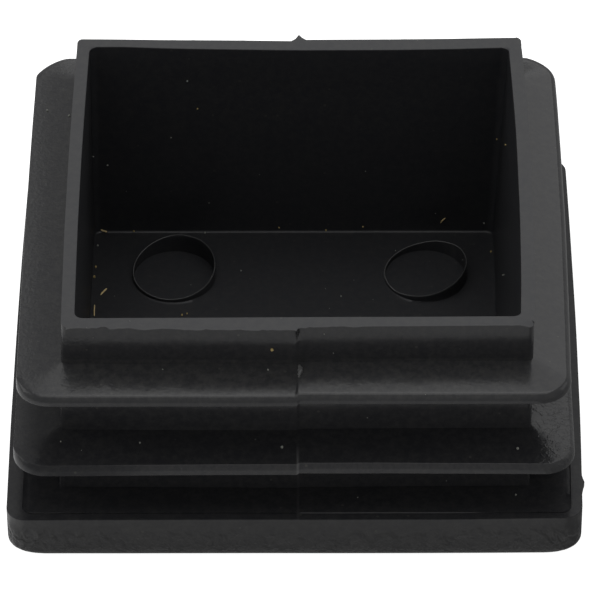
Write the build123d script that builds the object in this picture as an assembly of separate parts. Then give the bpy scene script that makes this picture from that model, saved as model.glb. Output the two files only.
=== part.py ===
from build123d import *
from math import cos, radians, sin, tan
import os

# Tube end plug: a square ribbed insert that closes the end of a square tube. It is one moulding.
# The outer face of its head lies at z = 0 and the hollow shell opens upwards, along +Z.
# X runs across the plane where the two side slides of its mould met, and Y runs along that plane.
# Lengths are in millimetres and angles in degrees.

# The tube that the plug is sized for
TUBE_W = 50.0  # outside width
TUBE_WALL = 2.0

# Head, which covers the tube's cut end and is as wide as the tube
HEAD_T = 5.0
HEAD_CORNER_R = 1.7  # plan corner at the seat
HEAD_EDGE_R = 1.9  # rounding between the outer face and the sides
FACE_CORNER_R = 5.0  # plan corner where the flat outer face begins
EDGE_LEVELS = 9  # levels that the rounded edge is drawn through

# Land on the seat, a low step where the slides closed on the head's cavity
LAND_INSET = 0.85
LAND_CORNER_R = 0.7
LAND_H = 0.05

# Shell, the hollow body that goes into the tube
SHELL_L = 17.84  # from the seat to the rim
SHELL_CLEARANCE = 2.92  # between the tube's bore and the rim, each side
SHELL_DRAFT = 1.7
SHELL_CORNER_R = 0.5
RIM_WALL = 1.08

# Hollow, open at the rim, with its floor sunk into the head
FLOOR_T = 1.4
HOLLOW_DRAFT = 0.95
FLOOR_FILLET_R = 0.4
FLOOR_CORNER_R = 0.3  # corner that is left on the flat of the floor

# Fins, which bend as they enter the tube and grip its bore
FIN_BELOW_RIM = 4.9  # from the rim down to the edge of the first fin
FIN_PITCH = 7.26
FIN_BITE = 0.75  # how far the first fin is wider than the bore, each side
FIN_BITE_STEP = 0.55  # how much more each next fin bites
FIN_EDGE_T = 1.0
FIN_TIP_R = 0.3  # rounding of the edge's upper side, which enters the tube first; its lower side is sharp
FIN_CORNER_R = 2.9
FIN_ENTRY_SLOPE = 12.3  # of the side that meets the tube first
FIN_BACK_SLOPE = 3.0  # of the side that faces the head
FIN_SEAT_GAP = 3.0  # least free height between the last fin and the seat

# Ejector marks on the floor, each a shallow disc inside a thin upstanding collar with a slanted top
PIN_D = 7.7
PIN_FROM_SIDE = 7.05  # from the floor's side edge to the mark's centre
PIN_FROM_END = 6.4  # from the floor's front or back edge to the mark's centre
PIN_SINK = 0.15
COLLAR_WALL = 0.25
COLLAR_LOW = 0.4
COLLAR_HIGH = 1.9
COLLAR_LEAN = 55.0  # turn of the tallest point away from X, towards the middle of the nearer end wall

# Worked out from the sizes above
BORE_W = TUBE_W - 2 * TUBE_WALL
SEAT_Z = HEAD_T
RIM_Z = SEAT_Z + SHELL_L
RIM_W = BORE_W - 2 * SHELL_CLEARANCE
MOUTH_W = RIM_W - 2 * RIM_WALL
FLOOR_W = MOUTH_W - 2 * (RIM_Z - FLOOR_T) * tan(radians(HOLLOW_DRAFT))
HOLLOW_CORNER_R = FLOOR_FILLET_R + FLOOR_CORNER_R
FIN_ROOT_W = RIM_W - RIM_WALL
FIN_ROOM = SHELL_L - FIN_BELOW_RIM - FIN_EDGE_T - FIN_SEAT_GAP
FIN_COUNT = 1 + max(0, int(FIN_ROOM / FIN_PITCH + 0.5))
MERGE = 0.5  # overlap that joins one form to the next inside solid material


def square(width, corner_r, z):
    """A level square with rounded corners, centred on the plug's axis."""
    return Plane.XY.offset(z) * RectangleRounded(width, width, corner_r)


def drafted_block(low_w, high_w, low_z, high_z, corner_r):
    """A square block whose sides lean evenly from one width to another."""
    return loft([square(low_w, corner_r, low_z), square(high_w, corner_r, high_z)], ruled=True)


def head_edge():
    """The rounded edge of the outer face, whose plan corners open out towards the flat."""
    sections = []
    for index in range(EDGE_LEVELS):
        turn = radians(90 * index / (EDGE_LEVELS - 1))
        width = TUBE_W - 2 * HEAD_EDGE_R * (1 - sin(turn))
        corner_r = FACE_CORNER_R + (HEAD_CORNER_R - FACE_CORNER_R) * sin(turn)
        sections.append(square(width, corner_r, HEAD_EDGE_R * (1 - cos(turn))))
    return loft(sections)


def head():
    """The cap, with its outer face down, and the low land on its seat."""
    cap = head_edge() + extrude(square(TUBE_W, HEAD_CORNER_R, HEAD_EDGE_R), SEAT_Z - HEAD_EDGE_R)
    land_w = TUBE_W - 2 * LAND_INSET
    return cap + extrude(square(land_w, LAND_CORNER_R, SEAT_Z - MERGE), MERGE + LAND_H)


def shell():
    """The solid outside of the shell, rooted in the head."""
    root_w = RIM_W + 2 * (SHELL_L + MERGE) * tan(radians(SHELL_DRAFT))
    return drafted_block(root_w, RIM_W, SEAT_Z - MERGE, RIM_Z, SHELL_CORNER_R)


def hollow():
    """The space inside the shell, carried on past the rim so that the mouth is cut clean."""
    mouth_w = MOUTH_W + 2 * MERGE * tan(radians(HOLLOW_DRAFT))
    space = drafted_block(FLOOR_W, mouth_w, FLOOR_T, RIM_Z + MERGE, HOLLOW_CORNER_R)
    floor_edges = space.faces().sort_by(Axis.Z)[0].edges()
    return fillet(floor_edges, FLOOR_FILLET_R)


def fin(edge_w, edge_top_z):
    """One fin all the way round: a blunt edge, and two slopes that end inside the shell's wall."""
    reach = (edge_w - FIN_ROOT_W) / 2
    edge_low_z = edge_top_z - FIN_EDGE_T
    sections = [
        square(FIN_ROOT_W, SHELL_CORNER_R, edge_low_z - reach * tan(radians(FIN_BACK_SLOPE))),
        square(edge_w, FIN_CORNER_R, edge_low_z),
        square(edge_w, FIN_CORNER_R, edge_top_z),
        square(FIN_ROOT_W, SHELL_CORNER_R, edge_top_z + reach * tan(radians(FIN_ENTRY_SLOPE))),
    ]
    ring = loft(sections, ruled=True)
    level_edges = ring.edges().filter_by(Plane.XY).group_by(Axis.Z)
    top_of_edge = level_edges[-2]  # the level next below the root of the entry slope
    return fillet(top_of_edge, FIN_TIP_R)


def fins():
    """The fins, from the rim down, each a little wider than the one before."""
    made = []
    for index in range(FIN_COUNT):
        edge_w = min(BORE_W + 2 * (FIN_BITE + index * FIN_BITE_STEP), TUBE_W)
        made.append(fin(edge_w, RIM_Z - FIN_BELOW_RIM - index * FIN_PITCH))
    return made


def pin_places():
    """The four ejector marks as (x, y, direction in which the collar is tallest)."""
    x = FLOOR_W / 2 - PIN_FROM_SIDE
    y = FLOOR_W / 2 - PIN_FROM_END
    return [
        (-x, y, COLLAR_LEAN),
        (x, y, COLLAR_LEAN),
        (-x, -y, -COLLAR_LEAN),
        (x, -y, -COLLAR_LEAN),
    ]


def pin_sink(x, y):
    """The shallow disc that an ejector pressed into the floor."""
    inner_r = PIN_D / 2 - COLLAR_WALL
    return extrude(Plane.XY.offset(FLOOR_T - PIN_SINK) * Pos(x, y) * Circle(inner_r), PIN_SINK + COLLAR_HIGH)


def pin_collar(x, y, tallest):
    """The thin collar round an ejector mark, cut off along a slant."""
    foot_z = FLOOR_T - PIN_SINK
    ring = Circle(PIN_D / 2) - Circle(PIN_D / 2 - COLLAR_WALL)
    tube = extrude(Plane.XY.offset(foot_z) * Pos(x, y) * ring, PIN_SINK + COLLAR_HIGH)
    rise = (COLLAR_HIGH - COLLAR_LOW) / PIN_D
    slant = Plane(
        origin=(x, y, FLOOR_T + (COLLAR_LOW + COLLAR_HIGH) / 2),
        z_dir=(-rise * cos(radians(tallest)), -rise * sin(radians(tallest)), 1),
    )
    return split(tube, bisect_by=slant, keep=Keep.BOTTOM)


def plug():
    """The whole moulding."""
    body = head() + shell()
    for ring in fins():
        body += ring
    body -= hollow()
    for x, y, tallest in pin_places():
        body -= pin_sink(x, y)
        body += pin_collar(x, y, tallest)
    return body


os.makedirs("parts", exist_ok=True)
moulding = plug()
export_step(moulding, "parts/tube_end_plug.step")
box = moulding.bounding_box()
print(f"tube_end_plug: {len(moulding.solids())} solid, {moulding.volume:.0f} cubic mm")
print(f"size {box.size.X:.2f} x {box.size.Y:.2f} x {box.size.Z:.2f} mm, {FIN_COUNT} fins")
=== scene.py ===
# %% [markdown]
# # A tube end plug, dressed for the studio
# The real object is one black plastic moulding that closes the end of a square tube. It has a thick flat
# head, a thin open shell and two fins that bend as the tube slides over them. Here it stands on its head.
# The measured model comes first and is only read: every shape below is worked out in its frame, and it
# stays in charge of size. What Blender adds is what a mould and some handling leave on a real part: skins
# of different gloss, flash where the mould's parts met, walls that are a little out of true, and dust.

# %% Load the measured frame
import random
from collections import namedtuple
from math import copysign, cos, exp, hypot, pi, radians, sin, tan

import bmesh
import bpy
import numpy as np
from mathutils import Matrix, Vector, noise
from mathutils.bvhtree import BVHTree
from mathutils.geometry import delaunay_2d_cdt


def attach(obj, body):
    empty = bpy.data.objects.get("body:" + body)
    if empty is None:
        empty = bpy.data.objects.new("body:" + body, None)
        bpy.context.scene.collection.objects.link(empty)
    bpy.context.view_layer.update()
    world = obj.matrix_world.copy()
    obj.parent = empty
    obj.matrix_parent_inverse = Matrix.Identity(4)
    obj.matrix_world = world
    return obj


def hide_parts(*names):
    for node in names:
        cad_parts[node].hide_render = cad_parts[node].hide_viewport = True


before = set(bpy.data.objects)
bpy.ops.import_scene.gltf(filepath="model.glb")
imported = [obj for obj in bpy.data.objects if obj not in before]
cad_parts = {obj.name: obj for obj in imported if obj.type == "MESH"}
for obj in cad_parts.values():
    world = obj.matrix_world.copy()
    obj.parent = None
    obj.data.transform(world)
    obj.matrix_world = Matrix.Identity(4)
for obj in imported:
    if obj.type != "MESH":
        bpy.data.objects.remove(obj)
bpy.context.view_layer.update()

NODE = "tube_end_plug"
MM = 0.001
scene = bpy.context.scene
scene.view_settings.view_transform = "Standard"

# %% [markdown]
# ## The plug's own sizes
# Lengths are in millimetres. Z = 0 is the outer face of the head, which lies on the floor, and the front of
# the plug faces -Y. The sizes are those of the measured model, with the last tenths read from the moulding.

# %% Sizes of the plug
HEAD_HALF = 24.97
HEAD_CORNER = 1.7  # plan corner at the top of the head
FACE_CORNER = 5.2  # plan corner where the flat outer face begins
HEAD_EDGE = 1.9  # rounding of the outer face's edge
SEAT_Z = 5.0
LAND_HALF = 24.12
LAND_HALF_X = 23.8
LAND_SHIFT = 0.2  # how far the land lies to the right
LAND_CORNER = 0.9
LAND_Z = 5.045
RIM_Z = 22.84
RIM_HALF_X = 20.13
RIM_HALF_Y = 20.02
BAYS = [  # heights, and half the shell's width along Y there
    (5.0, 20.67), (10.0, 20.64), (10.1, 20.2), (17.2, 20.56), (17.3, 19.82), (RIM_Z, RIM_HALF_Y),
]
SPREAD_X = 0.0207  # how much each side wall is further out for a mm further down
MOUTH_HALF = 19.0
SHELL_CORNER = 0.45
FLOOR_Z = 1.4
FLOOR_HALF = 18.65
HOLLOW_CORNER = 0.75
FLOOR_FILLET = 0.25
FIN_CORNER = 2.9
FIN_EDGE = 1.0  # thickness of a fin at its tip
FIN_ENTRY = tan(radians(12.3))  # slope of its upper side, which enters the tube first
FIN_BACK = tan(radians(3))  # slope of its underside
EDGE_FOOT = [(0.1, -0.12), (0.03, -0.09), (0.0, -0.04), (0.0, 0.0)]  # its edge's lower side: in, up
EDGE_TURN = 77.7  # degrees through which the edge's upper side turns
EDGE_STEPS = 12
Fin = namedtuple("Fin", "half top shoulder side")  # half its width, its edge's top and two radii
LOWER_FIN = Fin(24.31, 10.62, 0.2, 1.1)
UPPER_FIN = Fin(23.76, 17.97, 0.65, 0.85)
BREAK = 0.04  # width by which a sharp moulded edge is broken
LIP_T = 0.1  # thickness of the flash round the rim
LIP_ROOT = 0.92  # share of that thickness at its tip


def wall(z):
    """Half the shell's outside width along X and along Y at a height."""
    heights, halves = zip(*BAYS)
    return RIM_HALF_X + (RIM_Z - z) * SPREAD_X, float(np.interp(z, heights, halves))


print("shell half widths at the seat:", [round(v, 2) for v in wall(SEAT_Z)])

# %% [markdown]
# ## Camera
# The camera looks down at about 40 degrees from half a metre away. Its place and its long lens were found
# by matching the plug's corners to the photograph.

# %% Camera
PICTURE = 590  # pixels along each side
CAMERA_AT = Vector((2.83, -353.01, 307.17))
CAMERA_YAW = radians(0.46)
CAMERA_PITCH = radians(40.149)
CAMERA_ROLL = radians(-0.375)
FOCAL_PIXELS = 5153.5
SENSOR = 36.0


def camera_axes():
    """The camera's right, up and forward directions."""
    right = Vector((cos(CAMERA_YAW), sin(CAMERA_YAW), 0))
    level = Vector((-sin(CAMERA_YAW), cos(CAMERA_YAW), 0))
    forward = level * cos(CAMERA_PITCH) - Vector((0, 0, 1)) * sin(CAMERA_PITCH)
    up = right.cross(forward)
    turned_right = right * cos(CAMERA_ROLL) + up * sin(CAMERA_ROLL)
    turned_up = up * cos(CAMERA_ROLL) - right * sin(CAMERA_ROLL)
    return turned_right, turned_up, forward


RIGHT, UP, FORWARD = camera_axes()
camera_data = bpy.data.cameras.new("studio_camera")
camera_data.sensor_width = SENSOR
camera_data.lens = FOCAL_PIXELS / PICTURE * SENSOR
camera_data.clip_start = 0.01
camera = bpy.data.objects.new("studio_camera", camera_data)
turn = Matrix((RIGHT, UP, -FORWARD)).transposed()
camera.matrix_world = Matrix.Translation(CAMERA_AT * MM) @ turn.to_4x4()
scene.collection.objects.link(camera)
scene.camera = camera
print("lens in mm:", round(camera_data.lens, 1))

# %% [markdown]
# ## Rings
# Seen from above, every level of the plug is a square with round corners. So the whole skin, from the middle
# of the outer face, up over the head, out and in round each fin, over the rim and down into the hollow, is
# one stack of such rings joined by quads. That keeps the edge loops clean and the mesh closed, which joined
# boxes wouldn't do. Each ring has the same count of points, with extra ones at the middle of a side, where
# the two slides of the mould met.

# %% One ring
SIDE_STEPS = 52
CORNER_STEPS = 12
SPLIT_HALF = 0.3  # half the width of the fine strip in the middle of each side
SPLIT_POINTS = [-0.12, -0.05, 0.05, 0.12]
SIDES = [((0, -1), (1, 0)), ((1, 0), (0, 1)), ((0, 1), (-1, 0)), ((-1, 0), (0, -1))]  # outward, along
FRONT, RIGHT_SIDE, BACK, LEFT_SIDE = range(4)
Ring = namedtuple("Ring", "half_x half_y corner z zone free")
Spot = namedtuple("Spot", "x y out_x out_y side s")  # a ring's point, the way out, its side and place there


def side_places(length):
    """Distances from a side's middle, from one end of its straight to the other."""
    outer = np.linspace(length, SPLIT_HALF, SIDE_STEPS + 1)
    return np.concatenate([-outer, SPLIT_POINTS, outer[::-1]])


def ring_spots(ring):
    """The points of one ring, anticlockwise from the front's left end."""
    spots = []
    for side, (out, along) in enumerate(SIDES):
        half_out, half_along = (ring.half_x, ring.half_y) if out[0] else (ring.half_y, ring.half_x)
        straight = half_along - ring.corner
        places = [(half_out, s, 1, 0) for s in side_places(straight)]
        for step in range(1, CORNER_STEPS):
            angle = pi / 2 * step / CORNER_STEPS
            lead, lag = cos(angle), sin(angle)
            off = half_out - ring.corner + ring.corner * lead
            places.append((off, straight + ring.corner * lag, lead, lag))
        for off, on, lead, lag in places:
            x, y = (out[i] * off + along[i] * on for i in (0, 1))
            out_x, out_y = (out[i] * lead + along[i] * lag for i in (0, 1))
            spots.append(Spot(x, y, out_x, out_y, side, on))
    return spots


def between(start, end, steps):
    """Rings spaced evenly from one to the next, in the last one's zone, without the first."""
    made = []
    for step in range(1, steps + 1):
        t = step / steps
        mix = [a + (b - a) * t for a, b in zip(start[:4], end[:4])]
        made.append(Ring(*mix, end.zone, start.free + (end.free - start.free) * t))
    return made


RING_COUNT = len(ring_spots(Ring(HEAD_HALF, HEAD_HALF, HEAD_CORNER, 0, "face", 0)))
print("points in each ring:", RING_COUNT)

# %% [markdown]
# ## The profile
# The profile lists the rings in order. Besides its sizes a ring has a zone, which says what finish its faces
# get, and a share from 0 on the shell to 1 at a fin's tip, which says how it is bent later.

# %% Head
FACE_SHARES = (0.08, 0.25, 0.5, 0.75, 0.92, 1.0)  # sizes of the outer face's rings, with the face as 1
ROUND_STEPS = 10
LAND_SLANT = 0.01  # how much wider the land is at its foot
LAND_STRIP = 0.09  # width of the flash along its edge


def head_ring(half, corner, z, zone):
    """A ring of the head, which is square."""
    return Ring(half, half, corner, z, zone, 1.0)


def head_rings():
    """Outer face, its rounded edge, the sides, and the seat with its low land."""
    flat_half = HEAD_HALF - HEAD_EDGE
    rings = [head_ring(flat_half * share, FACE_CORNER * share, 0.0, "face") for share in FACE_SHARES]
    for step in range(1, ROUND_STEPS + 1):
        angle = pi / 2 * step / ROUND_STEPS
        half = flat_half + HEAD_EDGE * sin(angle)
        corner = FACE_CORNER + (HEAD_CORNER - FACE_CORNER) * sin(angle)
        rings.append(head_ring(half, corner, HEAD_EDGE * (1 - cos(angle)), "grained"))
    rings += between(rings[-1], head_ring(HEAD_HALF, HEAD_CORNER, SEAT_Z - BREAK, "grained"), 6)
    rings.append(head_ring(HEAD_HALF - BREAK, HEAD_CORNER - BREAK, SEAT_Z, "seat"))
    land = Ring(LAND_HALF_X, LAND_HALF, LAND_CORNER, LAND_Z, "land", 1.0)
    wide_x, wide_y = LAND_HALF_X + LAND_SLANT, LAND_HALF + LAND_SLANT
    foot = land._replace(half_x=wide_x, half_y=wide_y, z=SEAT_Z, zone="seat")
    inner = land._replace(half_x=LAND_HALF_X - LAND_STRIP, half_y=LAND_HALF - LAND_STRIP, free=0.99)
    rings += between(rings[-1], foot, 3) + [land, inner]
    rings += between(rings[-1], wall_ring(LAND_Z)._replace(zone="land"), 8)
    return rings


def wall_ring(z, zone="slide"):
    """A ring of the shell's outer wall."""
    half_x, half_y = wall(z)
    return Ring(half_x, half_y, SHELL_CORNER, z, zone, 0.0)


HEAD_PROFILE = head_rings()
print("rings in the head:", len(HEAD_PROFILE))

# %% [markdown]
# A fin's edge is about a millimetre thick. Its upper side is well rounded, so that it enters the tube, and
# its lower side is crisp, so that it holds. Both its slopes meet the wall in a sharp inner corner. Between
# the fins the wall steps in and out a little, because each bay was cut into the mould by itself.

# %% Fins and wall
def edge_shape(fin):
    """How far in from the tip and down from the top each ring of a fin's edge lies, lowest first."""
    inset, rise = 0.0, 0.0
    shape = list(EDGE_FOOT)
    step = radians(EDGE_TURN) / EDGE_STEPS
    for k in range(EDGE_STEPS):
        turn = (k + 0.5) * step
        radius = fin.shoulder if turn > radians(45) else fin.side
        inset += radius * sin(turn) * step
        rise += radius * cos(turn) * step
        shape.append((inset, rise))
    return [(inset, rise - height) for inset, height in shape]


def fin_rings(fin):
    """Underside, rounded edge and upper slope of one fin."""
    half_x, half_y = wall(fin.top)
    reach = fin.half - (half_x + half_y) / 2
    rings = [wall_ring(fin.top - FIN_EDGE - reach * FIN_BACK)]
    tips = []
    for inset, drop in edge_shape(fin):
        half = fin.half - inset
        corner = FIN_CORNER - inset
        tips.append(Ring(half, half, corner, fin.top - drop, "edge", 1.0))
    rings += between(rings[-1], tips[0]._replace(zone="under"), 7) + tips[1:]
    root = wall_ring(fin.top + (reach - edge_shape(fin)[-1][0]) * FIN_ENTRY, "slope")
    return rings + between(rings[-1], root, 12)


def outside_rings():
    """The shell's outer wall with its fins, up to the rim."""
    rings = []
    z = LAND_Z
    for fin in (LOWER_FIN, UPPER_FIN):
        made = fin_rings(fin)
        rings += between(wall_ring(z), made[0], 6) + made[1:]
        z = made[-1].z
    return rings + between(wall_ring(z), wall_ring(RIM_Z - LIP_T), 14)


OUTSIDE_PROFILE = outside_rings()
print("rings on the outside:", len(OUTSIDE_PROFILE))


# %% Rim and hollow
FILLET_STEPS = 5


def hollow_rings():
    """The rim's flat top with its lip of flash, and the hollow's wall down to the floor."""
    lip = wall_ring(RIM_Z, "lip")
    mouth = Ring(MOUTH_HALF, MOUTH_HALF, HOLLOW_CORNER, RIM_Z - BREAK, "core", 0.0)
    brink = mouth._replace(half_x=MOUTH_HALF + BREAK, half_y=MOUTH_HALF + BREAK, z=RIM_Z, zone="rim")
    foot = Ring(FLOOR_HALF, FLOOR_HALF, HOLLOW_CORNER, FLOOR_Z + FLOOR_FILLET, "core", 0.0)
    rings = [lip._replace(z=RIM_Z - LIP_T * LIP_ROOT), lip] + between(lip, brink, 5) + [mouth]
    rings += between(mouth, foot, 22)
    for step in range(1, FILLET_STEPS + 1):
        angle = pi / 2 * step / FILLET_STEPS
        inset = FLOOR_FILLET * (1 - cos(angle))
        half = FLOOR_HALF - inset
        height = FLOOR_Z + FLOOR_FILLET * (1 - sin(angle))
        rings.append(Ring(half, half, HOLLOW_CORNER - inset, height, "core", 0.0))
    return rings


PROFILE = HEAD_PROFILE + OUTSIDE_PROFILE + hollow_rings()
print("rings in all:", len(PROFILE))

# %% [markdown]
# ## Warp
# A thin moulding is never quite true. Its shell leans to the right, its rim walls bow, and its two side
# slides met a little out of line, so the left half of the front sits lower and nearer than the right half.
# These shifts are small functions of place. Each form above is drawn true and bent only here, so a size can
# still be changed by itself.

# %% Amounts of warp
LEAN_AT_FLOOR = -0.26
LEAN_AT_RIM = 0.36
SPLIT_X = 0.33  # where the two slides met, which does not lean with the shell
SPLIT_BLEND = 0.14  # half the width over which one slide's level passes into the other's
SLIDE_SLIP = 0.05  # half of the step in depth
SLIDE_DROP = 0.045  # half of the step in height at the lower fin
ROOF = 0.16  # how far the front wall stands out at the split
BACK_DENT = 0.19  # how far the back wall's left half lies further in at the split
BACK_SLANT = 0.0165  # how much further out it comes for each mm to the left
BACK_FLARE = 0.25  # how far the back wall stands out at its right end
BOW_RIGHT = 0.33  # how far the rim's side walls bow out
BOW_LEFT = 0.17
SAG_INSIDE = 0.53  # how far the back wall's inside bows in
SAG_MIDDLE = 3.5
SAG_REACH = 19.5
MOUTH_SHIFT = 0.15  # how far in the front wall's inside lies at the rim
MOUTH_TURN = 0.09
FREE_Z = 17.5  # above this height nothing stiffens the shell's walls
DROOP = 0.16  # how far the lower fin's ends hang down
WAVE = 0.02
WAVE_SCALE = 0.16
FIN_BOW_RIGHT = 0.24  # how far the upper fin's sides bow out
FIN_BOW_LEFT = 0.1
FIN_BOW_MIDDLE = 3
FIN_BOW_REACH = 22
LOWER_FIN_SIDES = -0.05
LEFT_CRISP = 0.92  # how much of the rounding the fins' left edges lack
LEFT_FADE = 10  # the higher, the sooner that ends round the corners
BACK_CRISP = 0.8
BACK_FADE = 6
SLOPE_FADE = 6
FRONT_DIP = 0.17  # how far the head's front falls back at its right end
DIP_AT_FACE = 0.3  # share of that at the outer face
SWELL_RIGHT = 0.37  # how far the head's sides bow out
SWELL_LEFT = 0.17
SWELL_FRONT = 0.0005  # how fast the right bow ends towards the front
SWELL_REST = 0.0003
FACE_FILL = 0.05  # how much less the outer face's corners are rounded off on the right


def ease(low, high, value):
    """0 below low, 1 above high, and a smooth step between."""
    t = min(max((value - low) / (high - low), 0.0), 1.0)
    return t * t * (3 - 2 * t)


noise.seed_set(7)  # or the ripple would be another one in each run


def ripple(x, y, z):
    """A very slight unevenness of every surface."""
    return noise.noise_vector(Vector((x, y, z)) * WAVE_SCALE) * WAVE


def slide_drop(z):
    """Half of the step in height between the slides, which is none at the seat and the rim."""
    to_lower = ease(SEAT_Z + 0.5, LOWER_FIN.top, z)
    to_upper = ease(LOWER_FIN.top, UPPER_FIN.top, z)
    return (SLIDE_DROP * to_lower + SLIDE_DROP * to_upper) * (1 - ease(RIM_Z - 2.2, RIM_Z - 0.5, z))


def fin_stretch(spot, ring):
    """How far a fin's tip stands further out than its true square, to the left or right."""
    if fin_of(ring) == LOWER_FIN:
        return LOWER_FIN_SIDES
    bow = FIN_BOW_RIGHT if spot.out_x > 0 else FIN_BOW_LEFT
    return bow * max(0.0, 1 - ((spot.y - FIN_BOW_MIDDLE) / FIN_BOW_REACH) ** 2)


def fin_of(ring):
    """The fin that a ring belongs to."""
    return LOWER_FIN if ring.z < (LOWER_FIN.top + UPPER_FIN.top) / 2 else UPPER_FIN


def squaring(ring):
    """How far a fin's edge would stand out if it had no rounding."""
    if ring.zone == "edge":
        return fin_of(ring).half - ring.half_x
    return edge_shape(fin_of(ring))[-1][0] * ring.free ** SLOPE_FADE if ring.zone == "slope" else 0.0


def head_swell(x, y):
    """How far the head's sides bow out of its true square, along X."""
    if x > 0:
        bow = SWELL_RIGHT - (SWELL_REST if y > 3 else SWELL_FRONT) * (y - 3) ** 2
    else:
        bow = SWELL_LEFT - SWELL_REST * (y - 1) ** 2
    return copysign(max(0.0, bow) * (x / HEAD_HALF) ** 2, x)


def bend_head(spot, ring):
    """Moves a true point of the head to where the moulding has it."""
    x, y, z = spot.x, spot.y, ring.z
    by_height = DIP_AT_FACE + (1 - DIP_AT_FACE) * z / SEAT_Z
    dip = FRONT_DIP * ease(12.0, 23.0, x) * max(0.0, -y / HEAD_HALF) ** 2 * by_height
    at = Vector((x + head_swell(x, y), y + dip, z))
    if ring.zone == "seat":
        at.x += LAND_SHIFT * (HEAD_HALF - ring.half_y) / (HEAD_HALF - LAND_HALF)
        return at + ripple(x, y, z)
    low = max(0.0, 1 - z / HEAD_EDGE)
    if spot.out_x > 0 and low > 0:
        on_edge = min(1.0, ring.half_x / (HEAD_HALF - HEAD_EDGE))
        fill = FACE_FILL * low * 2 * spot.out_x * abs(spot.out_y) * on_edge
        at += Vector((spot.out_x, spot.out_y, 0)) * fill
    return at if ring.zone == "face" else at + ripple(x, y, z)


def back_shift(x):
    """How far the outside of the back wall stands out of line."""
    left = BACK_SLANT * -x - BACK_DENT
    right = BACK_FLARE * (x / RIM_HALF_X) ** 2
    share = ease(-SPLIT_BLEND * 2, SPLIT_BLEND * 2, x)
    return left * (1 - share) + right * share


def inside_shift(spot, free_rim):
    """Bends of the hollow's wall near the rim, along Y."""
    x = spot.x
    back = max(0.0, spot.out_y) * SAG_INSIDE * max(0.0, 1 - ((x - SAG_MIDDLE) / SAG_REACH) ** 2)
    front = max(0.0, -spot.out_y) * (MOUTH_SHIFT + MOUTH_TURN * x / MOUTH_HALF)
    return free_rim * (front - back)


# %% Bending one point
def bend(spot, ring):
    """Moves a true point of the skin to where the moulding has it."""
    if ring.zone in ("face", "grained", "seat"):
        return bend_head(spot, ring)
    x, y, z = spot.x, spot.y, ring.z
    on_wall = 1 - ring.free
    free_rim = on_wall * ease(FREE_Z, RIM_Z, z)
    bow = BOW_RIGHT if spot.out_x > 0 else BOW_LEFT
    dx = spot.out_x * free_rim * bow * max(0.0, 1 - (y / MOUTH_HALF) ** 2)
    dy = 0.0
    dz = 0.0
    if ring.zone in ("core", "rim"):
        share = (z - FLOOR_Z) / (RIM_Z - FLOOR_Z)
        dx += LEAN_AT_FLOOR + (LEAN_AT_RIM - LEAN_AT_FLOOR) * share
        dy += inside_shift(spot, free_rim)
        return Vector((x + dx, y + dy, z)) + ripple(x, y, z)
    dx += on_wall * LEAN_AT_RIM * (z - SEAT_Z) / (RIM_Z - SEAT_Z)
    dx += (SPLIT_X - dx) * max(0.0, 1 - (x / ring.half_x) ** 2)
    half_of_mould = 2 * ease(-SPLIT_BLEND, SPLIT_BLEND, x) - 1
    toward_front = 0.5 - 0.5 * y / ring.half_y
    dy += half_of_mould * toward_front * SLIDE_SLIP
    dz += half_of_mould * toward_front * slide_drop(z)
    if spot.out_y < 0:
        dy += on_wall * spot.out_y * ROOF * (1 - abs(x) / ring.half_x)
    else:
        dy += on_wall * spot.out_y * back_shift(x)
    if ring.zone == "land":
        dx += ring.free * (LAND_SHIFT + head_swell(x, y))
    else:
        dx += ring.free ** 2 * spot.out_x * fin_stretch(spot, ring)
        dx -= max(0.0, -spot.out_x) ** LEFT_FADE * LEFT_CRISP * squaring(ring)
        dy += max(0.0, spot.out_y) ** BACK_FADE * BACK_CRISP * squaring(ring)
        if ring.free > 0 and z < UPPER_FIN.top - 2:
            dz -= ring.free * DROOP * (x / ring.half_x) ** 2 * toward_front
    return Vector((x + dx, y + dy, z + dz)) + ripple(x, y, z)


mid_rim = Spot(0.0, -RIM_HALF_Y, 0.0, -1.0, FRONT, 0.0)
print("the rim's front middle moves to", bend(mid_rim, wall_ring(RIM_Z)))

# %% [markdown]
# ## Flash
# Where two parts of a mould meet, a little plastic creeps between them. It left a ragged lip on the outside
# of the rim, a fine ridge down the middle of the front and back, and a pip on the back of the rim. These
# are pushed out of the rings themselves, so the flash is part of the one skin.

# %% How far the flash stands out
RIDGE = 0.06  # height of the line between the slides
RIDGE_HALF = 0.08
NOTCH = 0.3  # depth of the notch at its upper end
NOTCH_Z = 21.9
SEAM_LIFT = 1.6  # how much higher the line is on the slopes
SMUDGE = 0.1  # height of the smear where it meets the wall above the upper fin
LAND_LIPS = {FRONT: 0.03, RIGHT_SIDE: 0.09, BACK: 0.02, LEFT_SIDE: 0.04}  # flash along the land's edge
FRONT_RIGHT_LIP = 0.45  # share of it on the right half of the front
LEAST_LIP = 0.02
RAGGED = 1.9  # how much more ragged the front's lip is on the left
RAGGED_END = 9.0
LIP_SINK = 0.12  # how far it sinks at its right end
PIP_REACH = 0.85
PIP_HALF = 0.5
BURR = 0.22  # reach of the burr on the head's right edge, and its place
BURR_AT = -20.2


def rough(place, scale, seed):
    """Smooth noise from -1 to 1 along one edge."""
    return noise.noise(Vector((place * scale, seed * 7.3, seed * 1.7)))


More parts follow.
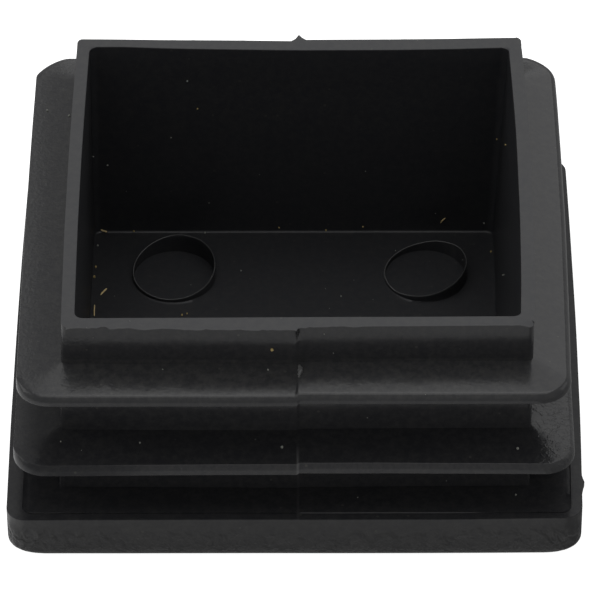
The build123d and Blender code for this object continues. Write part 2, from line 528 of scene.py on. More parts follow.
def lip_flash(side, s):
    """How far the rim's outer lip stands out at one place."""
    fine = max(0.0, rough(s, 1.1, side + 1)) * 0.14 + rough(s, 3.1, side + 5) * 0.06
    if side == FRONT:
        left = 0.2 + 0.16 * ease(-18.0, -3.0, s) if s < 0 else 0.16 * (1 - ease(0.0, 5.0, s))
        notch = 0.35 * exp(-((s + 16.4) / 0.4) ** 2)
        tips = 0.16 * ease(18.7, 19.8, s) + 0.16 * ease(19.3, 19.9, -s)
        ragged = fine * (RAGGED if s < RAGGED_END else 1.0)
        return max(LEAST_LIP, left + tips + ragged - notch)
    if side == RIGHT_SIDE:
        return max(LEAST_LIP, (0.06 + fine * 0.6) * ease(-19.6, -17.5, s))
    return max(LEAST_LIP, fine * 0.5)


def ridge(spot, z):
    """How far the line between the slides stands out at one place. Just under the rim it is a notch."""
    if spot.side in (RIGHT_SIDE, LEFT_SIDE) or abs(spot.s) > SPLIT_HALF * 0.5:
        return 0.0
    near = 1.0 if abs(spot.s) < RIDGE_HALF else 0.3
    broken = 0.45 + 1.3 * noise.noise(Vector((spot.side * 3.0, z * 0.9, 2.0)))
    notch = NOTCH * exp(-((z - NOTCH_Z) / 0.4) ** 2)
    return near * (RIDGE * max(0.0, broken) - notch)


def pip(spot, z):
    """The pip on the back of the rim."""
    if spot.side != BACK:
        return 0.0
    return PIP_REACH * max(0.0, 1 - abs(spot.s) / PIP_HALF) * ease(RIM_Z - 2.2, RIM_Z - 0.4, z)


def burr(spot, ring):
    """The burr on the right edge of the head, near the front."""
    if spot.side != RIGHT_SIDE or ring.z < SEAT_Z - 0.6:
        return 0.0
    return BURR * exp(-((spot.s - BURR_AT) / 0.5) ** 2)


def flash(spot, ring):
    """All the flash at one point of the skin, in millimetres outwards."""
    if ring.zone == "grained":
        return burr(spot, ring)
    if ring.zone not in ("slide", "lip", "slope", "edge", "under"):
        return 0.0
    out = ridge(spot, ring.z) + (1 - ring.free) * pip(spot, ring.z)
    if ring.zone != "lip":
        return out
    square_on = abs(spot.out_y) if spot.side == FRONT else 1.0
    return out + square_on ** 3 * lip_flash(spot.side, spot.s)


def lift(spot, ring):
    """How far flash raises one point of the skin, or lowers it."""
    if ring.zone in ("slope", "seat", "land"):
        raised = max(0.0, ridge(spot, ring.z)) * SEAM_LIFT
        if ring.zone == "slope" and spot.side == FRONT and ring.z > UPPER_FIN.top:
            near = max(0.0, 1 - (spot.s / SPLIT_HALF) ** 2)
            raised += SMUDGE * near * exp(-((ring.free - 0.15) / 0.13) ** 2)
        if ring.zone == "land" and ring.free == 1.0:
            share = FRONT_RIGHT_LIP if spot.side == FRONT and spot.s > 0 else 1.0
            raised += share * max(0.0, LAND_LIPS[spot.side] * (1 + rough(spot.s, 0.7, 11 + spot.side)))
        return raised
    if ring.zone == "lip" and spot.side == FRONT:
        return -LIP_SINK * ease(19.0, 20.0, spot.s)
    return 0.0


print("lip at the front, mm:", [round(lip_flash(FRONT, s), 2) for s in (-19, -15.9, -8, -1, 4, 12, 19.5)])

# %% Stack the rings into a skin
SLIDE, HEAD, CORE, TORN_WITH_HIGHLIGHT = range(4)  # the finishes, in the order of the body's materials
ZONE_FINISH = {"face": HEAD, "grained": HEAD, "rim": CORE, "core": CORE}


def band(shape, low, high, finish=0):
    """Joins two closed rows of points by quads."""
    for i in range(len(low)):
        j = (i + 1) % len(low)
        shape.faces.new((low[i], low[j], high[j], high[i])).material_index = finish


def skin(rings):
    """A bmesh of the stacked rings, open only at the floor of the hollow."""
    shape = bmesh.new()
    loops = []
    for ring in rings:
        loop = []
        for spot in ring_spots(ring):
            push = flash(spot, ring)
            at = bend(spot, ring) + Vector((spot.out_x * push, spot.out_y * push, lift(spot, ring)))
            loop.append(shape.verts.new(at * MM))
        loops.append(loop)
    for low, high, ring in zip(loops, loops[1:], rings[1:]):
        band(shape, low, high, ZONE_FINISH.get(ring.zone, SLIDE))
    centre = shape.verts.new(Vector((0, 0, 0)))
    for i in range(RING_COUNT):
        shape.faces.new((centre, loops[0][(i + 1) % RING_COUNT], loops[0][i])).material_index = HEAD
    return shape


body = skin(PROFILE)
print("skin:", len(body.verts), "points,", len(body.faces), "faces")

# %% [markdown]
# ## The floor and the ejector marks
# Four pins pushed the moulding out of its mould. Each left a shallow disc with a thin collar of flash that
# the pin drew up, higher on one side than the other. The floor is filled by a triangulation that keeps the
# collars' circles as edges, so that the collars grow out of the floor instead of standing in it.

# %% Ejector marks
Mark = namedtuple("Mark", "x y low high tallest")  # centre, collar's heights, where it is highest
MARKS = [
    Mark(-11.25, 12.25, 0.35, 1.9, 62.0),
    Mark(11.95, 12.3, 0.25, 1.7, 5.0),
    Mark(-11.6, -12.25, 0.3, 1.2, -60.0),
    Mark(11.6, -12.25, 0.3, 1.2, -120.0),
]
MARK_R = 3.85
MARK_SINK = 0.1  # depth of the disc inside a collar
DISC_RADII = (3.69, 3.5, 2.4, 1.2, 0.3)
AROUND = 72
SKIRT = 0.45  # width of the flat ring of floor round a collar
COLLAR_SHAPE = [  # how far in from the circle, and the share of the collar's height
    (-SKIRT, 0.0), (-0.02, 0.0), (0.0, 0.03), (0.01, 0.5),
    (0.03, 0.9), (0.07, 1.0), (0.12, 0.97), (0.15, 0.8),
]
COLLAR_CREST = (4, 5)  # the bands of that shape which are its torn top, painted pale as a highlight


def collar_height(mark, angle):
    """Height of a collar's torn top edge in one direction."""
    swing = 0.5 + 0.5 * cos(angle - radians(mark.tallest))
    torn = 0.1 * noise.noise(Vector((cos(angle) * 2.1, sin(angle) * 2.1, mark.x)))
    return mark.low + (mark.high - mark.low) * swing ** 1.4 + torn


def floor_point(shape, x, y, z):
    """A point on or over the floor, leaning as the floor does."""
    return shape.verts.new((Vector((x + LEAN_AT_FLOOR, y, z)) + ripple(x, y, FLOOR_Z)) * MM)


def circle_round(mark, radius):
    """Points on a circle round a mark, each with its angle."""
    centre = mark.x - LEAN_AT_FLOOR
    angles = [2 * pi * k / AROUND for k in range(AROUND)]
    return [(centre + radius * cos(a), mark.y + radius * sin(a), a) for a in angles]


def collar(shape, mark):
    """Adds one mark: the foot on the floor, the collar and the sunken disc."""
    steps = [(MARK_R - inset, share, 0.0) for inset, share in COLLAR_SHAPE]
    steps += [(radius, 0.0, MARK_SINK) for radius in DISC_RADII]
    rows = []
    for radius, share, sunk in steps:
        row = []
        for x, y, angle in circle_round(mark, radius):
            row.append(floor_point(shape, x, y, FLOOR_Z + share * collar_height(mark, angle) - sunk))
        rows.append(row)
    for order in range(len(rows) - 1):
        # painted highlight: the crest's bands take the pale finish of torn flash
        band(shape, rows[order], rows[order + 1], TORN_WITH_HIGHLIGHT if order in COLLAR_CREST else CORE)
    shape.faces.new(rows[-1]).material_index = CORE


# %% Floor of the hollow
FLOOR_GRID = 1.7
WELD = 0.004  # points nearer than this are one


def floor_fill(shape):
    """Fills the floor between its edge and the marks' circles."""
    points = [(spot.x, spot.y) for spot in ring_spots(PROFILE[-1])]
    edges = [(i, (i + 1) % RING_COUNT) for i in range(RING_COUNT)]
    clear = MARK_R + SKIRT
    for mark in MARKS:
        first = len(points)
        points += [(x, y) for x, y, _ in circle_round(mark, clear)]
        edges += [(first + k, first + (k + 1) % AROUND) for k in range(AROUND)]

    def off_marks(x, y, gap):
        return all(hypot(x - m.x + LEAN_AT_FLOOR, y - m.y) > clear + gap for m in MARKS)

    steps = np.arange(-10 * FLOOR_GRID, 10.1 * FLOOR_GRID, FLOOR_GRID)
    points += [(float(x), float(y)) for x in steps for y in steps if off_marks(x, y, 0.4)]
    verts, _, faces, _, _, _ = delaunay_2d_cdt([Vector(p) for p in points], edges, [], 0, 1e-6)
    made = [floor_point(shape, v.x, v.y, FLOOR_Z) for v in verts]
    for face in faces:
        cx = sum(verts[i].x for i in face) / len(face)
        cy = sum(verts[i].y for i in face) / len(face)
        if off_marks(cx, cy, -0.05):
            shape.faces.new([made[i] for i in face]).material_index = CORE


floor_fill(body)
for mark in MARKS:
    collar(body, mark)
bmesh.ops.remove_doubles(body, verts=body.verts, dist=WELD * MM)
bmesh.ops.delete(body, geom=[v for v in body.verts if not v.link_faces], context="VERTS")
bmesh.ops.recalc_face_normals(body, faces=body.faces)
open_edges = [e for e in body.edges if not e.is_manifold]
print("closed skin:", len(body.faces), "faces,", len(open_edges), "open edges")

# %% [markdown]
# ## Finishes
# All of the plug is one plastic, but the mould gave it three skins: a glossy one where the slides ran, a
# leathery grain on the head, and a plain one on the core's side. A fourth is the pale top of each torn
# collar, whitened flash made paler still as a painted highlight. The left slide had worn rougher than the
# right one. The patterns are groups of nodes, so each finish uses them with its own size and depth.

# %% Node helpers
def add_node(tree, kind, **values):
    """A node with some of its inputs or settings set."""
    node = tree.nodes.new(kind)
    for name, value in values.items():
        if name in node.inputs:
            node.inputs[name].default_value = value
        else:
            setattr(node, name, value)
    return node


def new_group(name, inputs, outputs):
    """An empty node group with the sockets inside it that give its inputs and take its results."""
    group = bpy.data.node_groups.new(name, "ShaderNodeTree")
    for label, value in inputs:
        socket = group.interface.new_socket(label, in_out="INPUT", socket_type="NodeSocketFloat")
        socket.default_value = value
    for label in outputs:
        group.interface.new_socket(label, in_out="OUTPUT", socket_type="NodeSocketFloat")
    return group, group.nodes.new("NodeGroupInput").outputs, group.nodes.new("NodeGroupOutput").inputs


def use_group(tree, group, **values):
    """The outputs of a group that is placed in a tree with its own numbers and sockets."""
    node = tree.nodes.new("ShaderNodeGroup")
    node.node_tree = group
    for name, value in values.items():
        if isinstance(value, (int, float)):
            node.inputs[name].default_value = value
        else:
            tree.links.new(value, node.inputs[name])
    return node.outputs


def calc(tree, operation, *values):
    """A math node on sockets or numbers. Returns its output."""
    node = tree.nodes.new("ShaderNodeMath")
    node.operation = operation
    for socket, value in zip(node.inputs, values):
        if isinstance(value, (int, float)):
            socket.default_value = value
        else:
            tree.links.new(value, socket)
    return node.outputs[0]


def times(tree, *values):
    """One socket or number times another."""
    return calc(tree, "MULTIPLY", *values)


def scaled(tree, value, factor, offset):
    """A value times a factor, plus an offset. Each is a socket or a number."""
    return calc(tree, "MULTIPLY_ADD", value, factor, offset)


def object_axes(tree):
    """The X, Y and Z outputs of the object's own coordinates."""
    place = add_node(tree, "ShaderNodeTexCoord")
    parts = add_node(tree, "ShaderNodeSeparateXYZ")
    tree.links.new(place.outputs["Object"], parts.inputs["Vector"])
    return parts.outputs


def blend(tree, base, colour, share):
    """Mixes a share of a colour into a base, which is a colour or a socket."""
    node = add_node(tree, "ShaderNodeMix", data_type="RGBA")
    if isinstance(base, tuple):
        node.inputs["A"].default_value = (*base, 1)
    else:
        tree.links.new(base, node.inputs["A"])
    node.inputs["B"].default_value = (*colour, 1)
    tree.links.new(share, node.inputs["Factor"])
    return node.outputs["Result"]


def new_material(name):
    """A material, its node tree and its shader."""
    material = bpy.data.materials.new(name)
    material.use_nodes = True
    return material, material.node_tree, material.node_tree.nodes["Principled BSDF"]


# %% [markdown]
# The grain is a noise drawn out along Z and slanted a little, as the etched surface of the mould was. Where
# it passes its middle it can be creased, which gives wrinkles. Coordinates are the object's own, in metres,
# so the number of waves to a millimetre is multiplied by a thousand.

# %% Pattern groups
PER_MM = 1000.0


def placed(group, kind, waves, **values):
    """A texture node on the object's own coordinates."""
    place = add_node(group, "ShaderNodeTexCoord")
    texture = add_node(group, kind, **values)
    group.links.new(place.outputs["Object"], texture.inputs["Vector"])
    group.links.new(times(group, waves, PER_MM), texture.inputs["Scale"])
    return texture


def make_grain():
    """Height of a mould grain, about 0 to 1, drawn out upwards and slanted."""
    sockets = [("Waves", 1.4), ("Squash", 0.5), ("Slant", 0.3), ("Creased", 0.0)]
    group, given, result = new_group("mould_grain", sockets, ["Height"])
    x, y, z = object_axes(group)
    scale = times(group, given["Waves"], PER_MM)
    slanted = add_node(group, "ShaderNodeCombineXYZ")
    for name, axis in (("X", x), ("Y", y)):
        leaning = scaled(group, z, given["Slant"], axis)
        group.links.new(times(group, leaning, scale), slanted.inputs[name])
    group.links.new(times(group, times(group, z, given["Squash"]), scale), slanted.inputs["Z"])
    texture = add_node(group, "ShaderNodeTexNoise", Scale=1.0, Detail=2.0, Roughness=0.5, Distortion=0.3)
    group.links.new(slanted.outputs["Vector"], texture.inputs["Vector"])
    swing = calc(group, "ABSOLUTE", calc(group, "SUBTRACT", texture.outputs["Fac"], 0.5))
    crease = calc(group, "MINIMUM", times(group, swing, 5.0), 0.6)
    group.links.new(scaled(group, crease, given["Creased"], texture.outputs["Fac"]), result["Height"])
    return group


def make_wear():
    """Slow patches, a mottled film of dust, and small dots."""
    sockets = [("Patch", 0.12), ("Dots", 0.5), ("Film", 1.5)]
    group, given, result = new_group("wear", sockets, ["Patches", "Specks", "Haze"])
    slow = placed(group, "ShaderNodeTexNoise", given["Patch"], Detail=5.0, Roughness=0.6)
    group.links.new(slow.outputs["Fac"], result["Patches"])
    film = placed(group, "ShaderNodeTexNoise", given["Film"], Detail=6.0, Roughness=0.7)
    thick = times(group, calc(group, "SUBTRACT", film.outputs["Fac"], 0.4), 1.9)
    group.links.new(calc(group, "MINIMUM", calc(group, "MAXIMUM", thick, 0.0), 1.0), result["Haze"])
    dots = placed(group, "ShaderNodeTexVoronoi", given["Dots"], feature="F1")
    group.links.new(calc(group, "LESS_THAN", dots.outputs["Distance"], 0.06), result["Specks"])
    return group


def make_reach():
    """1 on one side of a plane across the plug and 0 on the other, with a soft step between."""
    group, given, result = new_group("reach", [("Along", 0.0), ("From", 0.0), ("To", 1.0)], ["Mask"])
    step = add_node(group, "ShaderNodeMapRange", interpolation_type="SMOOTHSTEP")
    group.links.new(times(group, given["Along"], PER_MM), step.inputs["Value"])
    group.links.new(given["From"], step.inputs["From Min"])
    group.links.new(given["To"], step.inputs["From Max"])
    group.links.new(step.outputs["Result"], result["Mask"])
    return group


GRAIN, WEAR, REACH = make_grain(), make_wear(), make_reach()
print("groups:", [g.name for g in bpy.data.node_groups])

# %% [markdown]
# ## The plastic
# Each finish is a very dark grey with a slight blue cast, under specks and a thin film of dust. Its gloss
# varies slowly over the surface, and its relief is a bump whose depth is given in millimetres. The slides'
# skin also has a pale line where they met, which is a painted highlight, and its upper fin's slope is
# painted lighter, with some dust and painted light.

# %% Plastic
SPECK = (0.055, 0.055, 0.05)
DUST_FILM = (0.05, 0.0495, 0.048)
# painted highlight: a pale grey along the seam where the slides met, for the light its ridge catches
PAINTED_SEAM_HIGHLIGHT = (0.15, 0.15, 0.15)
# painted light with some dust: the lighter grey of the upper fin's slope
FIN_SLOPE_DUST_AND_LIGHT = (0.085, 0.085, 0.082)
STREAK_HALF = 0.17  # half the width of the pale line


def start_plastic(name, colour):
    """The parts that every finish has: its colour with specks under a film of dust, and the wear."""
    material, tree, shader = new_material(name)
    shader.inputs["IOR"].default_value = 1.5
    wear = use_group(tree, WEAR)
    specked = blend(tree, colour, SPECK, wear["Specks"])
    tree.links.new(blend(tree, specked, DUST_FILM, wear["Haze"]), shader.inputs["Base Color"])
    return material, tree, shader, wear


def set_gloss(tree, shader, wear, roughness, uneven):
    """Roughness from a number or a socket, more or less by the patches of wear."""
    off_middle = calc(tree, "SUBTRACT", wear["Patches"], 0.5)
    tree.links.new(scaled(tree, off_middle, uneven, roughness), shader.inputs["Roughness"])


def relief(tree, shader, height, depth):
    """Feeds a height to the shader as a bump of a depth in millimetres."""
    bump = add_node(tree, "ShaderNodeBump", Strength=1.0, Distance=depth * MM)
    tree.links.new(height, bump.inputs["Height"])
    tree.links.new(bump.outputs["Normal"], shader.inputs["Normal"])


def mask_along(tree, axis, start, end):
    """A soft step along one axis, from 0 at the start to 1 at the end, in millimetres."""
    return use_group(tree, REACH, Along=axis, From=start, To=end)["Mask"]


def grain(tree, **values):
    """The height of the mould grain with its own values."""
    return use_group(tree, GRAIN, **values)["Height"]


def add_heights(tree, *pairs):
    """Adds up grain heights, each times its depth, which may be a socket."""
    total = 0.0
    for height, depth in pairs:
        total = scaled(tree, height, depth, total)
    return total


def painted_seam_highlight(tree, x, z, wear):
    """How strongly the painted highlight down the seam shows: patchy, faint near the seat, and not above the
    lower fin.
    """
    off_split = calc(tree, "ABSOLUTE", calc(tree, "SUBTRACT", times(tree, x, PER_MM), SPLIT_X))
    streak = calc(tree, "SUBTRACT", 1.0, times(tree, off_split, 1 / STREAK_HALF))
    by_height = scaled(tree, mask_along(tree, z, 6.5, 9.5), 0.75, 0.25)
    by_height = times(tree, by_height, mask_along(tree, z, 11.15, 10.75))
    shown = times(tree, calc(tree, "MAXIMUM", streak, 0.0), by_height)
    return times(tree, shown, wear["Patches"])


def fin_slope_dust_and_light(tree, x, z, wear):
    """How much lighter the upper fin's slope is painted, which is none at its ends: some dust, and painted
    light.
    """
    across_fin = times(tree, mask_along(tree, x, -22.0, -19.0), mask_along(tree, x, 22.0, 19.0))
    on_fin = times(tree, mask_along(tree, z, 17.5, 17.9), mask_along(tree, z, 19.2, 18.9))
    # painted light: the 0.11 lightens the whole slope evenly, and only the rest follows the dust's mottle
    film = scaled(tree, wear["Haze"], 0.4, 0.11)
    return times(tree, times(tree, across_fin, on_fin), film)


def slide_plastic():
    """Glossy skin of the slides: satin towards the sides, and wrinkled at the lower fin's right corner."""
    material, tree, shader, wear = start_plastic("slide_skin", (0.0255, 0.0258, 0.0285))
    x, y, z = object_axes(tree)
    above_seat = mask_along(tree, z, 7.0, 9.0)
    left = mask_along(tree, x, -15.5, -23.0)
    low_fin = times(tree, mask_along(tree, z, 14.5, 12.5), above_seat)
    low_right = times(tree, mask_along(tree, x, 19.0, 23.0), low_fin)
    wrinkled = times(tree, low_right, mask_along(tree, y, -4.0, -14.0))
    satin = calc(tree, "MAXIMUM", left, low_right)
    set_gloss(tree, shader, wear, scaled(tree, satin, 0.08, 0.17), 0.04)
    below_fins = calc(tree, "SUBTRACT", 1.0, above_seat)
    sides = calc(tree, "MAXIMUM", mask_along(tree, x, -19.0, -22.0), mask_along(tree, x, 22.0, 24.5))
    inner = times(tree, mask_along(tree, x, -24.4, -22.0), mask_along(tree, x, -10.0, -18.0))
    dull = calc(tree, "MAXIMUM", times(tree, sides, below_fins), times(tree, inner, low_fin))
    tree.links.new(scaled(tree, dull, -0.3, 0.5), shader.inputs["Specular IOR Level"])
    colour = shader.inputs["Base Color"].links[0].from_socket
    # painted highlight: the pale line along the seam
    colour = blend(tree, colour, PAINTED_SEAM_HIGHLIGHT, painted_seam_highlight(tree, x, z, wear))
    # the upper fin's slope painted lighter: some dust, and painted light from above
    colour = blend(tree, colour, FIN_SLOPE_DUST_AND_LIGHT, fin_slope_dust_and_light(tree, x, z, wear))
    tree.links.new(colour, shader.inputs["Base Color"])
    fine = grain(tree, Waves=3.0, Squash=1.0, Slant=0.0)
    folds = grain(tree, Waves=2.6, Squash=0.6, Slant=0.5, Creased=0.15)
    swells = grain(tree, Waves=0.35, Squash=1.0, Slant=0.0)
    height = add_heights(
        tree,
        (fine, scaled(tree, times(tree, left, above_seat), 0.016, 0.008)),
        (folds, times(tree, wrinkled, 0.09)),
        (swells, 0.02),
    )
    relief(tree, shader, height, 1.0)
    return material


def head_plastic():
    """The head's leather grain, deeper towards its outer face."""
    material, tree, shader, wear = start_plastic("leather_skin", (0.0235, 0.0236, 0.0248))
    set_gloss(tree, shader, wear, 0.34, 0.1)
    z = object_axes(tree)[2]
    deeper = times(tree, mask_along(tree, z, 4.4, 2.3), mask_along(tree, z, -0.3, 1.2))
    broad = grain(tree, Waves=1.0, Squash=0.85, Slant=0.1)
    fine = grain(tree, Waves=3.6, Squash=0.6, Slant=0.2)
    height = add_heights(
        tree,
        (broad, scaled(tree, deeper, 0.75, 0.1)),
        (fine, scaled(tree, deeper, 0.05, 0.015)),
    )
    relief(tree, shader, height, 1.0)
    return material


def core_plastic():
    """The plainer skin that the core left on the rim and in the hollow."""
    material, tree, shader, wear = start_plastic("core_skin", (0.0275, 0.0282, 0.032))
    set_gloss(tree, shader, wear, 0.335, 0.02)
    fine = grain(tree, Waves=4.0, Squash=1.0, Slant=0.0)
    swells = grain(tree, Waves=0.5, Squash=1.0, Slant=0.0)
    height = add_heights(tree, (fine, 0.003), (swells, 0.008))
    relief(tree, shader, height, 1.0)
    return material


def torn_plastic_with_highlight():
    """The torn top of a collar, painted pale: whitened flash, and a painted highlight for the light it
    catches.
    """
    # painted highlight: a pale grey far above the others, partly whitened flash
    material, tree, shader, wear = start_plastic("torn_skin_painted_highlight", (0.13, 0.13, 0.13))
    set_gloss(tree, shader, wear, 0.4, 0.1)
    return material


PLASTICS = [slide_plastic(), head_plastic(), core_plastic(), torn_plastic_with_highlight()]
print("plastics:", [m.name for m in PLASTICS])

# %% The plug as one piece
SHARP = radians(38)


def finish_mesh(shape, name, materials):
    """Turns a bmesh into a smooth object with true corners kept."""
    mesh = bpy.data.meshes.new(name)
    shape.to_mesh(mesh)
    shape.free()
    for material in materials:
        mesh.materials.append(material)
    mesh.shade_smooth()
    mesh.set_sharp_from_angle(angle=SHARP)
    piece = bpy.data.objects.new(name, mesh)
    scene.collection.objects.link(piece)
    return piece


carrier = BVHTree.FromBMesh(body)
plug = finish_mesh(body, "plug_moulding", PLASTICS)
weighted = plug.modifiers.new("even", "WEIGHTED_NORMAL")  # keeps the flats flat next to narrow edges
weighted.keep_sharp = True
weighted.weight = 80
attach(plug, "root")
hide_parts(NODE)
print("plug:", len(plug.data.polygons), "faces")

# %% [markdown]
# ## Dust and fibres
# Black plastic shows every grain of dust. The bits are real pieces: lumpy crumbs, and fibres bent over the
# surface. A bit is easiest to place where it shows in the photograph, so each has a pixel, and the line of
# sight through it is followed until it meets the skin. So every bit lies on the plug and not in the air.

# %% Where a line of sight meets the plug
def on_plug(pixel):
    """The point of the skin seen at a pixel, and the way out of the skin there."""
    across = (pixel[0] - PICTURE / 2) / FOCAL_PIXELS
    down = (pixel[1] - PICTURE / 2) / FOCAL_PIXELS
    ray = FORWARD + RIGHT * across - UP * down
    at, normal, _, _ = carrier.ray_cast(CAMERA_AT * MM, ray.normalized())
    return at, normal if normal.dot(ray) < 0 else -normal


seen_at = on_plug((295, 270))[0]
print("near the picture's middle the camera sees the hollow's floor at", [round(v / MM, 2) for v in seen_at])


# %% Crumbs and fibres
CRUMB_ROWS = [-70, -35, 0, 35, 70]  # latitudes of a crumb's points, in degrees
CRUMB_AROUND = 9
LUMPS = 0.45  # how lumpy a crumb is, with its radius as 1
CRUMB_RISE = 0.6  # how high its middle lies
FIBRE_TURNS = np.linspace(0, 2 * pi, 7)[:6]  # directions round a fibre
FIBRE_RISE = 1.2


def tube_between(shape, rows):
    """Joins closed rows of points by quads and shuts both ends."""
    for low, high in zip(rows, rows[1:]):
        band(shape, low, high)
    shape.faces.new(rows[0][::-1])
    shape.faces.new(rows[-1])


def crumb(shape, pixel, radius, seed):
    """A lumpy grain that sits on the skin."""
    at, normal = on_plug(pixel)
    side = normal.orthogonal().normalized()
    along = normal.cross(side)
    rows = []
    for latitude in CRUMB_ROWS:
        level, rise = cos(radians(latitude)), sin(radians(latitude))
        row = []
        for k in range(CRUMB_AROUND):
            turn = 2 * pi * k / CRUMB_AROUND
            way = side * cos(turn) * level + along * sin(turn) * level + normal * rise
            lump = 1 + LUMPS * noise.noise(way * 1.6 + Vector((seed * 3.1, 0, 0)))
            row.append(shape.verts.new(at + (way * lump + normal * CRUMB_RISE) * radius * MM))
        rows.append(row)
    tube_between(shape, rows)


def fibre(shape, pixel, length, angle, radius, bulge):
    """A hair that follows the skin, given by its middle, length and slant in the picture."""
    lead, lag = cos(radians(angle)), sin(radians(angle))
    way = RIGHT * lead + UP * lag
    rows = []
    for k in range(9):
        t = k / 4 - 1
        along, curve = t * length / 2, bulge * (1 - t * t)
        right, down = along * lead - curve * lag, -along * lag - curve * lead
        at, normal = on_plug((pixel[0] + right, pixel[1] + down))
        across = way.cross(normal).normalized()
        thin = radius * MM * (1.0 if abs(t) < 0.9 else 0.5)
        middle = at + normal * radius * MM * FIBRE_RISE
        row = [middle + (across * cos(a) + normal * sin(a)) * thin for a in FIBRE_TURNS]
        rows.append([shape.verts.new(p) for p in row])
    tube_between(shape, rows)


def bits_material(name, colour, roughness):
    """A plain matt colour for dust."""
    material, _, shader = new_material(name)
    shader.inputs["Base Color"].default_value = (*colour, 1)
    shader.inputs["Roughness"].default_value = roughness
    return material


def add_bits(name, shape, material):
    """Adds dust as one piece that rides on the plug."""
    bmesh.ops.recalc_face_normals(shape, faces=shape.faces)
    piece = finish_mesh(shape, name, [material])
    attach(piece, "root")
    print(name + ":", len(piece.data.polygons), "faces")


# %% Lay the dust
TAN_CRUMBS = [  # pixel across, pixel down, radius in mm
    (94.5, 277.4, 0.13), (95.7, 267.2, 0.11), (491, 252, 0.1), (326, 230, 0.09), (279, 227.4, 0.08),
    (363, 226.5, 0.08), (197.5, 108.5, 0.07), (497, 139, 0.07), (506, 145, 0.08), (134, 231, 0.08),
    (182, 315.5, 0.1), (187, 314, 0.08), (272, 349, 0.14),
]
GREY_CRUMBS = [
    (282, 447.5, 0.12), (517.7, 448.8, 0.11), (97.8, 245.8, 0.09), (205, 233, 0.08), (241, 271, 0.08),
    (341, 296.6, 0.08), (187.3, 80.7, 0.09), (171, 137.5, 0.06), (107.5, 165, 0.08), (69.3, 116, 0.09),
    (47.5, 110.8, 0.09), (93, 156.5, 0.07), (484, 223, 0.08), (504, 275, 0.08), (268, 370, 0.08),
    (515.8, 495, 0.08), (140, 443, 0.08), (60.7, 441.7, 0.07),
]
CURL = [
    (299.0, 366.5, 0.13), (299.6, 369, 0.2), (299.9, 371.8, 0.22), (299.4, 374.5, 0.17), (299.0, 377, 0.1),
]
FIBRES = [  # pixel across, pixel down, length in pixels, slant in degrees, radius in mm, bulge in pixels
    (104, 230.8, 7, -25, 0.075, 0.2), (103.7, 292.6, 9, 45, 0.08, 0.2),
    (94.5, 311.0, 11, 88, 0.06, 0.2), (443, 220, 7, 45, 0.055, 0.3),
]
SCATTER = 26
random.seed(7)

tan_bits, grey_bits, curl, hairs = bmesh.new(), bmesh.new(), bmesh.new(), bmesh.new()
for bits, crumbs, seed in ((tan_bits, TAN_CRUMBS, 0), (grey_bits, GREY_CRUMBS, 20), (curl, CURL, 40)):
    for number, (across, down, radius) in enumerate(crumbs):
        crumb(bits, (across, down), radius, seed + number)
for number in range(SCATTER):
    place = random.uniform(60, 520), random.uniform(150, 500)
    crumb(grey_bits, place, random.uniform(0.025, 0.05), 50 + number)
for across, down, *form in FIBRES:
    fibre(hairs, (across, down), *form)
add_bits("tan_crumbs", tan_bits, bits_material("tan_dust", (0.55, 0.42, 0.17), 0.7))
add_bits("grey_crumbs", grey_bits, bits_material("grey_dust", (0.34, 0.35, 0.31), 0.7))
# the flash curl has the same pale grey: whitened flash with a painted highlight
add_bits("flash_curl", curl, PLASTICS[TORN_WITH_HIGHLIGHT])
add_bits("fibres", hairs, bits_material("tan_fibre", (0.85, 0.66, 0.33), 0.6))

# %% [markdown]
# ## Studio
# The plug stands on a white floor in a light tent that is open towards the camera. Its upward flats mirror
# the back of the tent and its front mirrors the floor, which is why a black part still shows its shape. The
# dark front of the room shows only in the rounded edges. The tent's back reaches further to the right, and
# its left side is brighter than its right one.

# %% Floor
FLOOR_REACH = 2.5
FLOOR_DROP = 0.00005
FLOOR_GREY = 0.82
# painted shade: the floor's grey right of the plug, a stand-in for the plug's shadow there
PAINTED_SHADE_GREY = 0.45  # the floor on the right, away from the brighter side of the tent
FLOOR_WHITE = 0.94  # how white the floor looks by itself to the camera
PAINTED_FLOOR_GLOW = 0.09  # painted reflection: a glow of the floor that only the plug's mirroring sees
PAINTED_LEFT_GLOW = 0.25  # more painted reflection on the left, a stand-in for the tent lighting it more
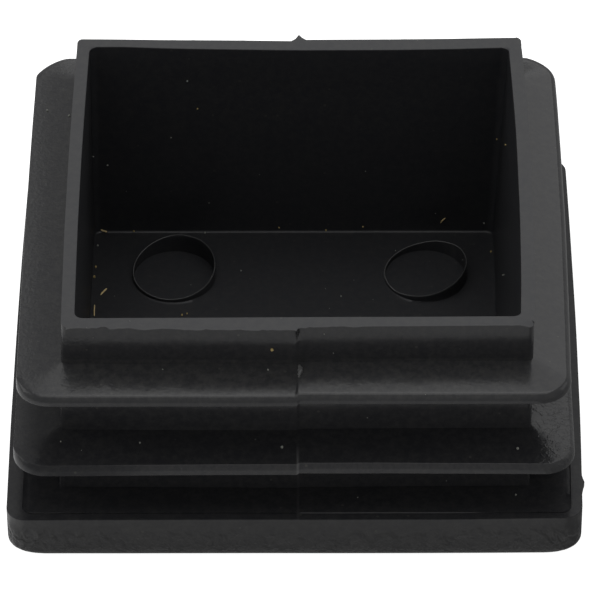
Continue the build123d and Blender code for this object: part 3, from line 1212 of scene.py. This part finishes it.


def white_floor():
    """A matt pale floor that the camera sees as plain white, with only a trace of the plug's shadow. Its
    grey is painted darker right of the plug as painted shade, and it has a painted glow that only
    reflections see.
    """
    material, tree, shader = new_material("white_floor")
    shader.inputs["Roughness"].default_value = 0.9
    shader.inputs["Specular IOR Level"].default_value = 0.0
    shader.inputs["Emission Color"].default_value = (1, 1, 1, 1)
    x = object_axes(tree)[0]
    # painted shade: the floor's colour turns darker just right of the plug
    shade = mask_along(tree, x, 23.5, 26.5)
    grey = blend(tree, (FLOOR_GREY,) * 3, (PAINTED_SHADE_GREY,) * 3, shade)
    tree.links.new(grey, shader.inputs["Base Color"])
    path = tree.nodes.new("ShaderNodeLightPath")
    # painted reflection: the floor glows only for glossy rays, more on the left and less under the painted
    # shade
    painted_side_glow = scaled(tree, mask_along(tree, x, -23.5, -26.5), PAINTED_LEFT_GLOW, PAINTED_FLOOR_GLOW)
    painted_glow = times(tree, painted_side_glow, calc(tree, "SUBTRACT", 1.0, shade))
    mirrored = times(tree, path.outputs["Is Glossy Ray"], painted_glow)
    seen = scaled(tree, path.outputs["Is Camera Ray"], FLOOR_WHITE, mirrored)
    tree.links.new(seen, shader.inputs["Emission Strength"])
    return material


floor_mesh = bpy.data.meshes.new("studio_floor")
corners = [(x * FLOOR_REACH, y * FLOOR_REACH, -FLOOR_DROP) for x, y in ((-1, -1), (1, -1), (1, 1), (-1, 1))]
floor_mesh.from_pydata(corners, [], [(0, 1, 2, 3)])
floor_mesh.materials.append(white_floor())
studio_floor = bpy.data.objects.new("studio_floor", floor_mesh)
scene.collection.objects.link(studio_floor)
print("floor reaches", FLOOR_REACH, "m each way")

# %% Lamps and room
MIDDLE = (0, 0, 0.012)
ROOM_GLOW = 0.36  # how bright the room is for all but the camera, which sees white


def soft_box(name, at, width, height, glow):
    """A lamp that faces the plug. Its glow is how bright its face looks, with white as 1."""
    data = bpy.data.lights.new(name, "AREA")
    data.shape = "RECTANGLE"
    data.size = width
    data.size_y = height
    data.energy = glow * pi * width * height
    light = bpy.data.objects.new(name, data)
    light.location = at
    light.rotation_euler = (Vector(MIDDLE) - Vector(at)).to_track_quat("-Z", "Y").to_euler()
    scene.collection.objects.link(light)


soft_box("back_box", (0.14, 0.62, 0.8), 0.85, 1.25, 0.57)
soft_box("top_box", (0.0, 0.02, 1.05), 0.9, 0.7, 0.66)
soft_box("left_box", (-0.85, 0.12, 0.5), 0.5, 0.5, 1.0)
soft_box("right_box", (0.85, 0.2, 0.45), 0.5, 0.45, 0.4)

world = bpy.data.worlds.new("room")
scene.world = world
world.use_nodes = True
room = world.node_tree
background = room.nodes["Background"]
background.inputs["Color"].default_value = (1, 1, 1, 1)
room_path = room.nodes.new("ShaderNodeLightPath")
glow = scaled(room, room_path.outputs["Is Camera Ray"], 1 - ROOM_GLOW, ROOM_GLOW)
room.links.new(glow, background.inputs["Strength"])

# %% [markdown]
# ## Finish
# Blender must not change the part's size.

# %% Finish
bpy.context.view_layer.update()
